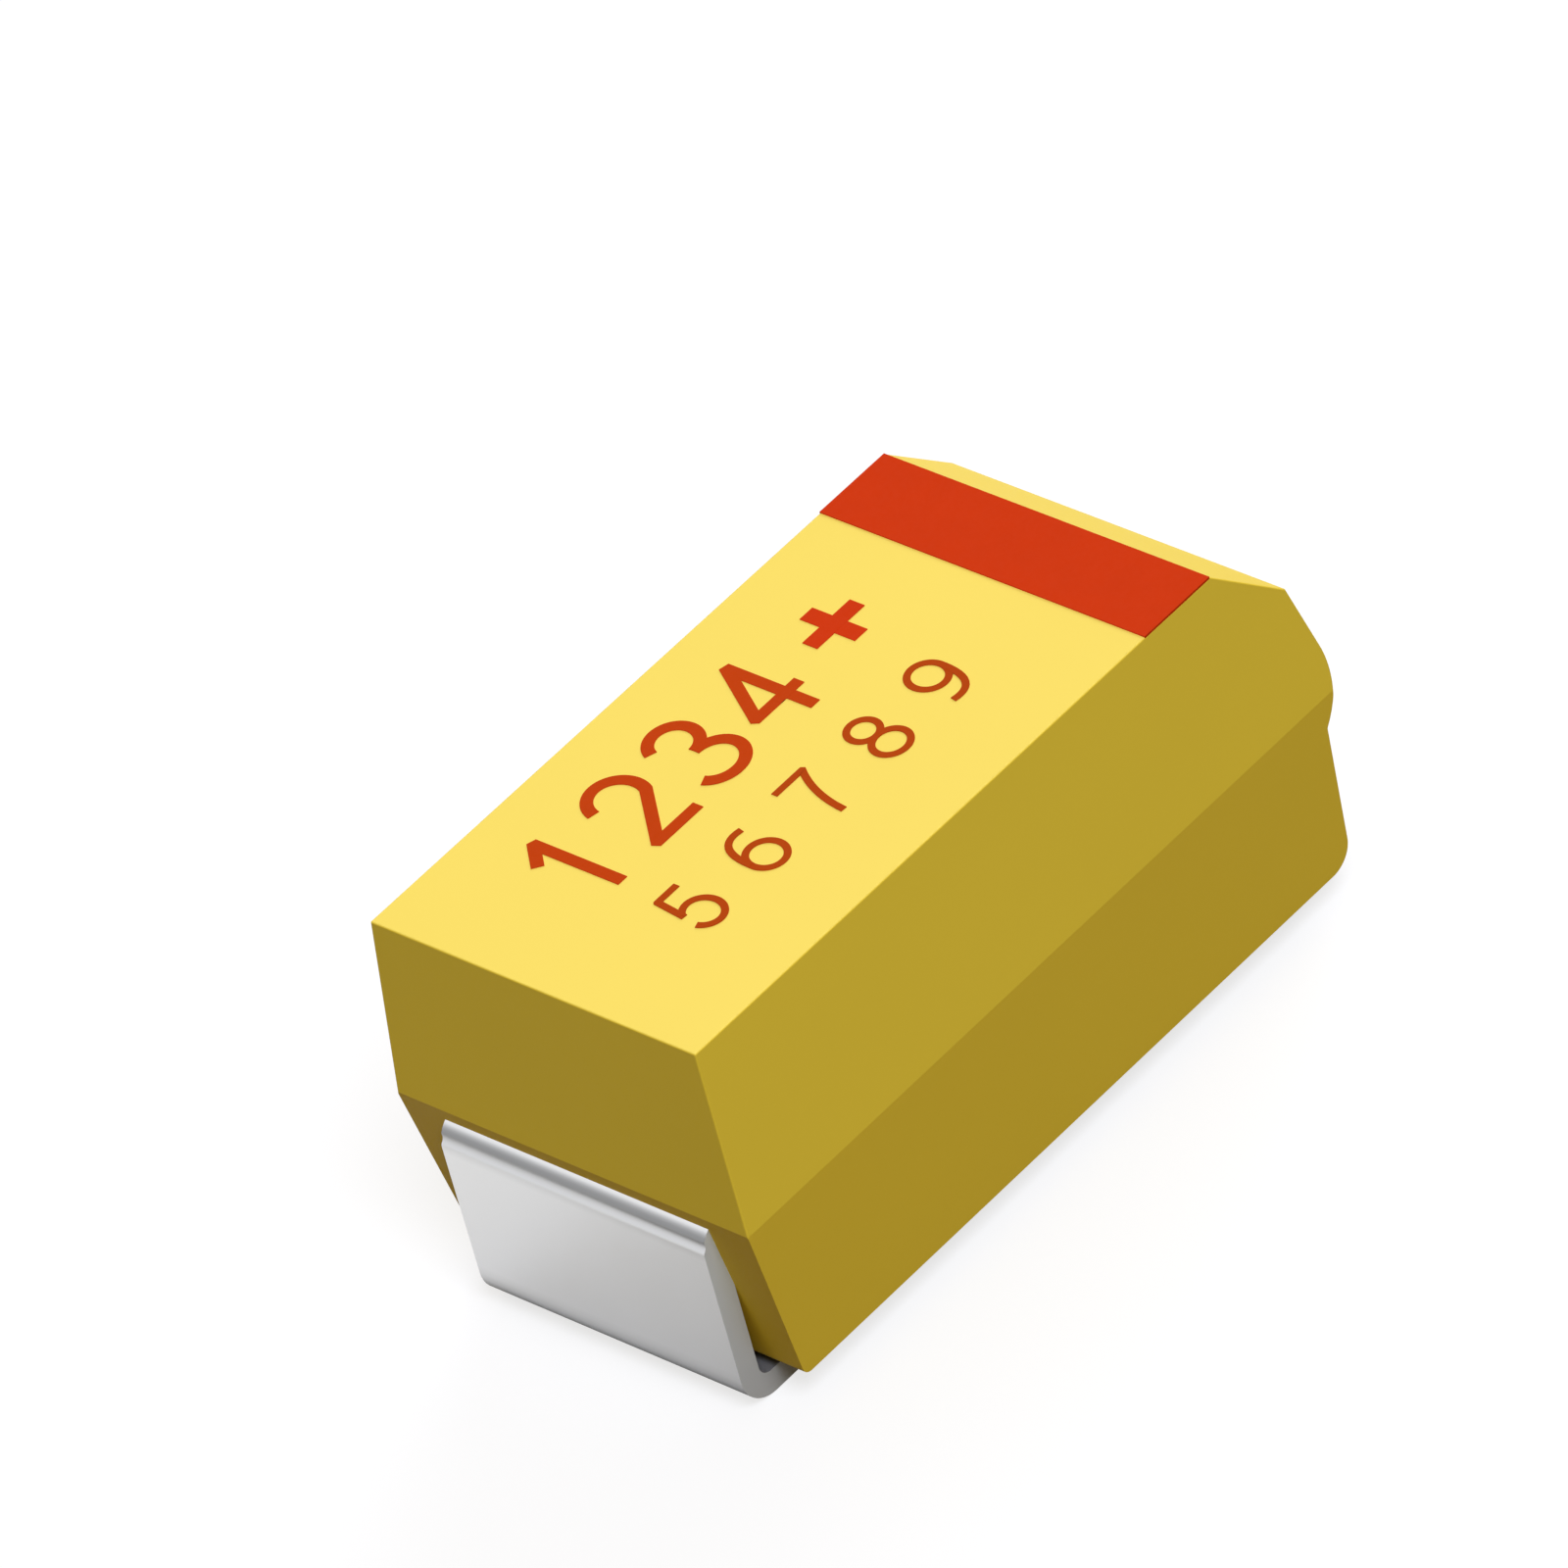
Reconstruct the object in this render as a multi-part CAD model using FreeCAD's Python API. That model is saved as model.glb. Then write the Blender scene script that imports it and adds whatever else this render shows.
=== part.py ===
"""Moulded tantalum chip capacitor: drafted case, two folded terminals and the element inside.

Millimetres. +X runs to the anode end, +Z up. The origin lies under the middle of the part,
on the plane that the two solder feet stand on.
"""
import FreeCAD, Part
import math
import os

Vector = FreeCAD.Vector

# Overall sizes
overall_length = 3.20        # over the outer faces of the two terminals
overall_height = 1.60        # from the solder feet to the top face
case_width = 1.60            # at the parting line

# Moulded case
terminal_proud = 0.04        # terminals stand out this far past the case's ends
parting_height = 0.85        # parting line above the solder plane
foot_clearance = 0.03        # gap between a foot and the bottom of the case
upper_side_draft = 4.8       # degrees, long walls above the parting line
upper_end_draft = 3.8        # degrees, cathode end above the parting line
lower_side_draft = 3.5       # degrees, long walls below the parting line
cathode_end_draft = 8.5      # degrees, cathode end below the parting line
anode_end_draft = 1.0        # degrees, anode end below the nose
pocket_clearance = 0.03      # round the anode strip's bend under the nose
bevel_length = 0.295         # polarity bevel at the anode end, along X
bevel_drop = 0.27            # and down Z
nose_slope = 13.0            # degrees, end wall between the bevel and the nose
nose_radius = 0.38           # rounded nose of the anode end
nose_rise = 0.10             # centre of the nose above the parting line
notch_drop = 0.13            # the nose ends this far below the parting line
toe_radius = 0.10            # bottom edge across the anode end
heel_radius = 0.04           # bottom edge across the cathode end
crisp_edge_radius = 0.006    # the other moulded edges

# Terminals, folded from tinned strip
terminal_thickness = 0.09
terminal_width = 1.20
foot_length = 0.80
exit_drop = 0.03             # top of the strip below the parting line
exit_bend_radius = 0.02      # inside radius where the strip turns down
foot_bend_radius = 0.05      # inside radius where it folds under
coin_radius = 0.030          # groove coined across the outside of the upper bend
coin_depth = 0.009
coin_edge_radius = 0.015     # eased edges of the groove
coin_angle = 18.5            # degrees up the bend from the upright plate
tail_width = 0.80            # strip inside the case
neck_depth = 0.10            # the strip keeps its full width this far into the case

# Capacitor element
pellet_length = 1.70
pellet_width = 1.10
pellet_height = 0.84
pellet_edge_radius = 0.05    # along its four long edges
pellet_from_cathode_end = 0.46   # from the case's cathode end to the pellet
dioxide_thickness = 0.015
graphite_thickness = 0.010
silver_thickness = 0.020
graphite_margin = 0.06       # bare dioxide at the wire end
silver_margin = 0.12         # bare graphite and dioxide at the wire end
wire_diameter = 0.20
wire_in_pellet = 0.50        # length of wire sintered into the pellet
wire_past_pellet = 0.54      # length of wire outside it
wire_seat_depth = 0.03       # the welded wire lies this deep in the anode strip
weld_length = 0.27           # overlap of wire and strip
washer_diameter = 0.50
washer_thickness = 0.06

# Joint between the element and the cathode strip
adhesive_thickness = 0.03
adhesive_inset = 0.10        # from the element's cathode end
adhesive_length = 1.10
adhesive_width = 0.70
shelf_length = 1.30          # cathode strip under the element
step_run = 0.14              # sloping step of the cathode strip, along X
step_clearance = 0.06        # from the end of the element to the foot of the step
step_bend_radius = 0.04

# Printed polarity stripe
stripe_length = 0.345
ink_thickness = 0.005

# Heights and ends that follow from the sizes above
case_length = overall_length - 2 * terminal_proud
case_bottom = terminal_thickness + foot_clearance
cathode_end = -case_length / 2
anode_end = case_length / 2
half_width = case_width / 2
top_half = half_width - (overall_height - parting_height) * math.tan(math.radians(upper_side_draft))
strip_top = parting_height - exit_drop
strip_height = strip_top - terminal_thickness / 2
plate_offset = overall_length / 2 - terminal_thickness / 2
plate_back = overall_length / 2 - terminal_thickness
foot_height = terminal_thickness / 2
wire_height = strip_top + wire_diameter / 2 - wire_seat_depth
pellet_start = cathode_end + pellet_from_cathode_end
pellet_end = pellet_start + pellet_length
coating = dioxide_thickness + graphite_thickness + silver_thickness
element_start = pellet_start - coating
element_bottom = wire_height - pellet_height / 2 - coating
shelf_height = element_bottom - adhesive_thickness - terminal_thickness / 2
wire_end = pellet_end + wire_past_pellet
step_foot = element_start - step_clearance
shelf_end = step_foot + shelf_length
clear = 1.0                  # how far cutting tools reach past the part


def slope(degrees):
    """Sideways run per unit of height of a wall at this draft."""
    return math.tan(math.radians(degrees))


def polar(center, radius, degrees):
    """Point (x, z) on a circle, degrees counted from +X towards +Z."""
    angle = math.radians(degrees)
    return (center[0] + radius * math.cos(angle), center[1] + radius * math.sin(angle))


def in_side_plane(point, y=0.0):
    """Point (x, z) of a side profile as a vector."""
    return Vector(point[0], y, point[1])


def line(start, end, y=0.0):
    return Part.makeLine(in_side_plane(start, y), in_side_plane(end, y))


def arc(start, middle, end, y=0.0):
    return Part.Arc(in_side_plane(start, y), in_side_plane(middle, y), in_side_plane(end, y)).toShape()


def across(edges, width):
    """Solid whose side profile is the closed chain of edges, centred on the XZ plane."""
    face = Part.Face(Part.Wire(edges))
    solid = face.extrude(Vector(0, width, 0))
    solid.translate(Vector(0, -width / 2, 0))
    return solid


def block(x_low, x_high, half_y, z_low, z_high):
    """Box centred on the XZ plane."""
    corner = Vector(x_low, -half_y, z_low)
    return Part.makeBox(x_high - x_low, 2 * half_y, z_high - z_low, corner)


def rounded_bar(x_low, x_high, half_y, z_low, z_high, radius):
    """Box with flat ends whose four long edges, along X, are rounded."""
    box = block(x_low, x_high, half_y, z_low, z_high)
    long_edges = [e for e in box.Edges if abs(e.Vertexes[0].X - e.Vertexes[-1].X) > 1e-6]
    return box.makeFillet(radius, long_edges)


def rod(x_low, x_high, height, diameter):
    """Cylinder along X."""
    return Part.makeCylinder(diameter / 2, x_high - x_low, Vector(x_low, 0, height), Vector(1, 0, 0))


def strip_side(points, inside_radius, offset):
    """Edges of one surface of a folded strip.

    points is the middle line (x, z), offset the distance of the surface to its left.
    Each corner turns on an arc about one centre for both surfaces.
    """
    half = terminal_thickness / 2
    edges = []
    setback = 0.0
    for index in range(1, len(points)):
        start, end = points[index - 1], points[index]
        run = Vector(end[0] - start[0], 0, end[1] - start[1])
        run.normalize()
        left = Vector(-run.z, 0, run.x)
        head = in_side_plane(start) + run * setback + left * offset
        tail = in_side_plane(end) + left * offset
        if index < len(points) - 1:
            after = points[index + 1]
            turned = Vector(after[0] - end[0], 0, after[1] - end[1])
            turned.normalize()
            turn = math.atan2(run.x * turned.z - run.z * turned.x, run.dot(turned))
            middle_radius = inside_radius[index - 1] + half
            setback = middle_radius * math.tan(abs(turn) / 2)
            tail = tail - run * setback
            edges.append(Part.makeLine(head, tail))
            sense = 1 if turn > 0 else -1
            center = in_side_plane(end) - run * setback + left * (sense * middle_radius)
            radius_vector = tail - center
            half_way = radius_vector * math.cos(turn / 2)
            half_way = half_way + Vector(-radius_vector.z, 0, radius_vector.x) * math.sin(turn / 2)
            new_left = Vector(-turned.z, 0, turned.x)
            finish = in_side_plane(end) + turned * setback + new_left * offset
            edges.append(Part.Arc(tail, center + half_way, finish).toShape())
        else:
            edges.append(Part.makeLine(head, tail))
    return edges


def folded_strip(points, inside_radius, width):
    """Strip of the terminals' thickness, folded along the middle line (x, z)."""
    left = strip_side(points, inside_radius, terminal_thickness / 2)
    right = strip_side(points, inside_radius, -terminal_thickness / 2)
    caps = []
    for end in (0, -1):
        near = left[end].Vertexes[end].Point
        far = right[end].Vertexes[end].Point
        caps.append(Part.makeLine(near, far))
    return across(Part.__sortEdges__(left + right + caps), width)


def nose_point(degrees):
    """Point (x, z) on the rounded nose of the anode end."""
    return polar((anode_end - nose_radius, parting_height + nose_rise), nose_radius, degrees)


def bevel_ends():
    """Upper and lower end (x, z) of the polarity bevel, above the wall that runs into the nose."""
    start = nose_point(nose_slope)
    foot_height_above = overall_height - bevel_drop - start[1]
    foot = (start[0] - foot_height_above * slope(nose_slope), overall_height - bevel_drop)
    return (foot[0] - bevel_length, overall_height), foot


def rounded_corner(before, corner, after, radius):
    """Start, middle and end (x, z) of the arc that rounds a corner of an outline."""
    back = in_side_plane(before) - in_side_plane(corner)
    ahead = in_side_plane(after) - in_side_plane(corner)
    half_angle = back.getAngle(ahead) / 2
    back.normalize()
    ahead.normalize()
    middle = back + ahead
    middle.normalize()
    setback = radius / math.tan(half_angle)
    depth = radius / math.sin(half_angle) - radius
    spots = [back * setback, middle * depth, ahead * setback]
    return [(corner[0] + spot.x, corner[1] + spot.z) for spot in spots]


def case_side_profile():
    """Outline of the case seen along Y, from the cathode end's parting line over the top."""
    heel_x = cathode_end + (parting_height - case_bottom) * slope(cathode_end_draft)
    top_start = cathode_end + (overall_height - parting_height) * slope(upper_end_draft)
    bevel_top, bevel_foot = bevel_ends()
    nose_start = nose_point(nose_slope)
    notch_angle = -math.degrees(math.asin((nose_rise + notch_drop) / nose_radius))
    notch = nose_point(notch_angle)
    toe = (notch[0] - (notch[1] - case_bottom) * slope(anode_end_draft), case_bottom)
    parting = (cathode_end, parting_height)
    toe_arc = rounded_corner(notch, toe, (heel_x, case_bottom), toe_radius)
    heel_arc = rounded_corner(toe, (heel_x, case_bottom), parting, heel_radius)

    outline = [parting, (top_start, overall_height), bevel_top, bevel_foot, nose_start]
    edges = [line(a, b) for a, b in zip(outline, outline[1:])]
    edges.append(arc(nose_start, nose_point((nose_slope + notch_angle) / 2), notch))
    edges += [line(notch, toe_arc[0]), arc(*toe_arc), line(toe_arc[2], heel_arc[0])]
    edges += [arc(*heel_arc), line(heel_arc[2], parting)]
    return edges


def case_end_profile():
    """Outline of the case seen along X, as a solid long enough to trim the side profile."""
    bottom_half = half_width - (parting_height - case_bottom) * slope(lower_side_draft)
    right = [(bottom_half, case_bottom), (half_width, parting_height), (top_half, overall_height)]
    left = [(-y, z) for y, z in reversed(right)]
    start = -overall_length
    points = [Vector(start, y, z) for y, z in right + left]
    face = Part.Face(Part.makePolygon(points + points[:1]))
    return face.extrude(Vector(2 * overall_length, 0, 0))


def lies_at(edge, height):
    """True for an edge that runs level at this height."""
    return all(abs(v.Z - height) < 1e-6 for v in edge.Vertexes)


def crosses(edge, low, high):
    """True for an edge that climbs between these heights."""
    heights = sorted(v.Z for v in edge.Vertexes)
    return heights[0] > low - 1e-6 and heights[-1] < high + 1e-6 and heights[-1] - heights[0] > 1e-3


def anode_pocket():
    """Recess under the nose that clears the outside of the anode strip's bend."""
    half_y = terminal_width / 2 + pocket_clearance
    wall = plate_back - pocket_clearance
    return block(wall, wall + clear, half_y, strip_top - clear, strip_top)


def case_block():
    """The case before the element and the strips are moulded in."""
    solid = across(case_side_profile(), 2 * case_width).common(case_end_profile())
    solid = solid.cut(anode_pocket())
    upright = [e for e in solid.Edges if crosses(e, parting_height, overall_height)]
    top = [e for e in solid.Edges if lies_at(e, overall_height)]
    return solid.makeFillet(crisp_edge_radius, upright + top)


def rounds(edge, axis):
    """True for an edge whose ends lie on the groove's cylinder."""
    reach = [math.hypot(v.X - axis.x, v.Z - axis.z) for v in edge.Vertexes]
    return all(abs(r - coin_radius) < 1e-6 for r in reach)


def coined(strip, side):
    """Strip with a groove coined across the outside of its upper bend; side is -1 or 1."""
    outside = exit_bend_radius + terminal_thickness
    center = (overall_length / 2 - outside, strip_top - outside)
    spot = polar(center, outside + coin_radius - coin_depth, coin_angle)
    start = Vector(side * spot[0], -terminal_width, spot[1])
    tool = Part.makeCylinder(coin_radius, 2 * terminal_width, start, Vector(0, 1, 0))
    grooved = strip.cut(tool)
    rims = [e for e in grooved.Edges if e.Length > terminal_width / 2 and rounds(e, start)]
    return grooved.makeFillet(coin_edge_radius, rims)


def neck_trim(side):
    """Cutters that narrow the strip inside the case to its tail width."""
    neck = side * (plate_back - neck_depth)
    x_low = min(neck, -clear)
    x_high = max(neck, clear)
    trim = (terminal_width - tail_width) / 2
    height = overall_height - case_bottom
    boxes = []
    for y_low in (tail_width / 2, -tail_width / 2 - trim):
        boxes.append(Part.makeBox(x_high - x_low, trim, height, Vector(x_low, y_low, case_bottom)))
    return boxes[0].fuse(boxes[1])


def cathode_terminal():
    """Foot, plate and exit of the cathode strip, stepped down to a shelf under the element."""
    foot_end = -overall_length / 2 + foot_length
    points = [(foot_end, foot_height), (-plate_offset, foot_height), (-plate_offset, strip_height)]
    points += [(step_foot - step_run, strip_height), (step_foot, shelf_height)]
    points.append((shelf_end, shelf_height))
    radii = [foot_bend_radius, exit_bend_radius, step_bend_radius, step_bend_radius]
    strip = folded_strip(points, radii, terminal_width)
    return coined(strip, -1).cut(neck_trim(-1))


def anode_terminal():
    """Foot, plate and exit of the anode strip, with a round seat for the welded wire."""
    foot_end = overall_length / 2 - foot_length
    tail_end = wire_end - weld_length
    points = [(foot_end, foot_height), (plate_offset, foot_height), (plate_offset, strip_height)]
    points.append((tail_end, strip_height))
    strip = folded_strip(points, [foot_bend_radius, exit_bend_radius], terminal_width)
    seat = rod(tail_end - clear, wire_end, wire_height, wire_diameter)
    return coined(strip, 1).cut(neck_trim(1)).cut(seat)


def anode_wire():
    return rod(pellet_end - wire_in_pellet, wire_end, wire_height, wire_diameter)


def ptfe_washer():
    """Washer round the wire that keeps the cathode coatings off it."""
    disc = rod(pellet_end, pellet_end + washer_thickness, wire_height, washer_diameter)
    return disc.cut(anode_wire())


def pellet_envelope(growth):
    """The pellet's pressed bar, grown evenly by the coatings over it."""
    half_y = pellet_width / 2 + growth
    z_low = wire_height - pellet_height / 2 - growth
    z_high = wire_height + pellet_height / 2 + growth
    radius = pellet_edge_radius + growth
    return rounded_bar(pellet_start - growth, pellet_end + growth, half_y, z_low, z_high, radius)


def tantalum_pellet():
    return pellet_envelope(0).cut(anode_wire())


def coating_shell(inner_growth, thickness):
    """Even coating all round the pellet."""
    return pellet_envelope(inner_growth + thickness).cut(pellet_envelope(inner_growth))


def wire_end_margin(margin):
    """Cutter that leaves a coating off the wire end of the pellet and for margin before it."""
    return block(pellet_end - margin, pellet_end + clear, case_width, 0, overall_height + clear)


def manganese_dioxide_layer():
    """Covers the whole pellet apart from the place of the washer."""
    opening = rod(pellet_end, pellet_end + clear, wire_height, washer_diameter)
    return coating_shell(0, dioxide_thickness).cut(opening)


def graphite_layer():
    return coating_shell(dioxide_thickness, graphite_thickness).cut(wire_end_margin(graphite_margin))


def silver_layer():
    inner = dioxide_thickness + graphite_thickness
    return coating_shell(inner, silver_thickness).cut(wire_end_margin(silver_margin))


def silver_adhesive():
    """Pad between the element's underside and the cathode shelf."""
    pad_start = element_start + adhesive_inset
    low = element_bottom - adhesive_thickness
    return block(pad_start, pad_start + adhesive_length, adhesive_width / 2, low, element_bottom)


def polarity_stripe():
    """Ink across the top face and over its long edges, ending where the polarity bevel starts."""
    half_angle = math.atan2(bevel_drop, bevel_length) / 2
    end = bevel_ends()[0][0] - crisp_edge_radius * math.tan(half_angle)
    low = overall_height - crisp_edge_radius
    ink = block(end - stripe_length, end, top_half, low, overall_height + ink_thickness)
    return ink.cut(case_block())


def build():
    parts = {
        "cathode_terminal": cathode_terminal(),
        "anode_terminal": anode_terminal(),
        "anode_wire": anode_wire(),
        "ptfe_washer": ptfe_washer(),
        "tantalum_pellet": tantalum_pellet(),
        "manganese_dioxide_layer": manganese_dioxide_layer(),
        "graphite_layer": graphite_layer(),
        "silver_layer": silver_layer(),
        "silver_adhesive": silver_adhesive(),
    }
    case = case_block()
    for piece in parts.values():
        case = case.cut(piece)
    parts["moulded_case"] = case
    parts["polarity_stripe"] = polarity_stripe()
    return parts


os.makedirs("parts", exist_ok=True)
for name, shape in build().items():
    print(name, "solids", len(shape.Solids), "volume", round(shape.Volume, 5), "valid", shape.isValid())
    shape.Solids[0].exportStep("parts/" + name + ".step")
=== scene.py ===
"""Looks of a moulded tantalum chip capacitor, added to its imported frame.

Lengths in the settings are in millimetres on the real part. The frame and every mesh are in
metres. +X runs to the striped anode end, +Z up from the solder plane.
"""
import bpy
import bmesh
import math
from bpy.props import FloatProperty, FloatVectorProperty, StringProperty
from mathutils import Matrix, Vector


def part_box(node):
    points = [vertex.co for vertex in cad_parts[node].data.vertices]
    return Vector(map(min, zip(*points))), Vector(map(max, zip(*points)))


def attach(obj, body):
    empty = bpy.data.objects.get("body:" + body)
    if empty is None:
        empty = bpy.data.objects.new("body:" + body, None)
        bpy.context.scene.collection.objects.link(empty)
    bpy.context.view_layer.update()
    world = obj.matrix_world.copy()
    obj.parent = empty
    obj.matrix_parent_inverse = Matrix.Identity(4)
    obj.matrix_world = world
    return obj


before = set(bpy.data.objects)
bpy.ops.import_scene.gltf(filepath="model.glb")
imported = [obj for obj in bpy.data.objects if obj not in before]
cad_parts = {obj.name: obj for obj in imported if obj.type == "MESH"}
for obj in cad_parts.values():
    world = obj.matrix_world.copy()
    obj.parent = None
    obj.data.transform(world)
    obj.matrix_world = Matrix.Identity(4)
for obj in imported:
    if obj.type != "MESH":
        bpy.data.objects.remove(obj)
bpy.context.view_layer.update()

bl_info = {
    "name": "Tantalum chip capacitor",
    "version": (1, 0, 0),
    "blender": (4, 5, 0),
    "location": "View3D > Sidebar > Capacitor",
    "description": "Finishes, printed marks and studio of a moulded tantalum chip capacitor",
    "category": "Object",
}

MM = 0.001
BODY = "root"

PICTURE_SIDE = 1600     # pixels

# Lengths in millimetres.
SENSOR_WIDTH = 36.0
CAMERA_REACH = (1.0, 2000.0)
PART_MIDDLE = (0.0, 0.0, 0.8)
FLOOR_HALF_SIDE = 400.0
FLOOR_DROP = 0.002      # the floor lies this far under the feet, so that no faces coincide

WHITE = (1.0, 1.0, 1.0)
NOISE_RANGE = (0.3, 0.7)    # nearly all of a noise texture's values lie in it
THIN_PATCH = 0.93       # share of the ink's colour where it lies thin
ROLLING_STRETCH = (0.04, 1.0, 0.04)     # draws the rolling lines out along the strip

# Cosines of the surface against an axis, between which painted sheen, painted shade or a finish
# fades in.
LOOKS_UP = (0.62, 1.0)
LOOKS_DOWN = (-0.03, -0.10)
END_WALL = (0.90, 0.97)
SHEARED_EDGE = (0.85, 0.95)
TOP_OF_FOOT = (0.1, 0.6)

# Heights over the solder plane, in millimetres, across which painted shade fades.
UNDER_THE_CASE = (0.25, 0.35)
EDGE_SHADE_SPAN = (0.0, 0.60)

# Share of the tin's colour at each height, as painted shade: round the bend of the foot, and
# again along the coined line of the shoulder.
TIN_SHADE_BY_HEIGHT = (
    (0.000, 0.60), (0.040, 0.35), (0.068, 0.40), (0.086, 0.50), (0.100, 0.63),
    (0.112, 0.75), (0.124, 0.83), (0.147, 0.93), (0.175, 0.99),
    (0.685, 0.99), (0.693, 0.97), (0.705, 0.93), (0.718, 0.87), (0.729, 0.78),
    (0.736, 0.76), (0.742, 0.72), (0.750, 0.61), (0.758, 0.46), (0.764, 0.37),
    (0.771, 0.34), (0.778, 0.375), (0.784, 0.485), (0.790, 0.70), (0.795, 0.94),
    (0.800, 1.00))

LAYERS_IN_INK = 8       # a character's strokes lie an eighth of the ink's thickness apart
SHARP_CORNER = 0.3      # cosine of a turn under which a stroke's corner is cut blunt
BLUNTNESS = 0.2         # how far such a corner runs on before it is cut, in stroke widths
SAME_PLACE = 1e-9       # metres between a closed line's first and last point, at most
ARC_STEP = 6            # degrees
SWOOP_STEPS = 12


class ResinSettings(bpy.types.PropertyGroup):
    """Sizes and colours of the moulded case."""

    color: FloatVectorProperty(
        name="Resin", description="Colour of the moulded epoxy",
        subtype="COLOR", size=3, min=0.0, max=1.0, default=(0.94, 0.72, 0.066),
    )
    # Painted sheen: faces that look up get a paler, bluer colour, as if they reflected white
    # light.
    painted_sheen_color: FloatVectorProperty(
        name="Top sheen", description="Colour of the faces that look up, which carry a faint sheen",
        subtype="COLOR", size=3, min=0.0, max=1.0, default=(0.965, 0.79, 0.155),
    )
    # Painted shade: walls that look down get a darker, browner colour, and the lower end walls
    # darker still.
    low_color: FloatVectorProperty(
        name="Underside", description="Colour of the lower half, whose walls look down",
        subtype="COLOR", size=3, min=0.0, max=1.0, default=(0.92, 0.635, 0.044),
    )
    low_end_shade: FloatProperty(
        name="Low end shade", description="Share of the underside's colour on its end walls",
        subtype="FACTOR", min=0.0, max=1.0, default=0.89,
    )
    mottle: FloatProperty(
        name="Mottling", description="How much the colour wanders over the case",
        subtype="FACTOR", min=0.0, max=0.3, default=0.03,
    )
    clouds_per_mm: FloatProperty(
        name="Clouds", description="Clouds of the mottling in a millimetre",
        min=0.1, max=20.0, default=1.6,
    )
    grain_size: FloatProperty(
        name="Grain size", description="Size of the moulded surface grain, in millimetres",
        min=0.002, max=0.2, default=0.012,
    )
    grain_height: FloatProperty(
        name="Grain height", description="Height of the surface grain, in millimetres",
        min=0.0, max=0.02, default=0.002,
    )
    grain_depth: FloatProperty(
        name="Grain strength", description="Strength of the grain's bump",
        subtype="FACTOR", min=0.0, max=1.0, default=0.12,
    )
    roughness: FloatProperty(
        name="Roughness", description="Roughness of the resin",
        subtype="FACTOR", min=0.0, max=1.0, default=0.48,
    )
    gloss: FloatProperty(
        name="Gloss", description="Specular level of the resin",
        subtype="FACTOR", min=0.0, max=1.0, default=0.10,
    )


class StripSettings(bpy.types.PropertyGroup):
    """Sizes and colours of the tinned terminals."""

    color: FloatVectorProperty(
        name="Tin", description="Colour of the tin plate",
        subtype="COLOR", size=3, min=0.0, max=1.0, default=(0.825, 0.832, 0.852),
    )
    # The sheared edges are matt; their colour is painted lighter and bluer at the top, against
    # the warm light the resin throws on them, and darker towards the feet as painted shade.
    edge_color: FloatVectorProperty(
        name="Sheared edge", description="Colour of the strip's sheared edges",
        subtype="COLOR", size=3, min=0.0, max=1.0, default=(0.74, 0.83, 0.96),
    )
    edge_shade_color: FloatVectorProperty(
        name="Sheared edge, low", description="Colour of the sheared edges down at the feet",
        subtype="COLOR", size=3, min=0.0, max=1.0, default=(0.565, 0.585, 0.62),
    )
    # Painted shade: a dark bluish grey on the faces that look up between the foot and the case.
    painted_foot_shade: FloatVectorProperty(
        name="Foot_shade", description="Colour of the tin between the foot and the case",
        subtype="COLOR", size=3, min=0.0, max=1.0, default=(0.19, 0.20, 0.24),
    )
    rolling_pitch: FloatProperty(
        name="Rolling lines", description="Spacing of the strip's rolling lines, in millimetres",
        min=0.002, max=0.2, default=0.02,
    )
    rolling_height: FloatProperty(
        name="Rolling height", description="Height of the rolling lines, in millimetres",
        min=0.0, max=0.01, default=0.001,
    )
    roughness: FloatProperty(
        name="Roughness", description="Roughness of the matt tin plate",
        subtype="FACTOR", min=0.0, max=1.0, default=0.38,
    )
    edge_shine: FloatProperty(
        name="Edge shine", description="How metallic the sheared and shaded places look",
        subtype="FACTOR", min=0.0, max=1.0, default=0.12,
    )


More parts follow.
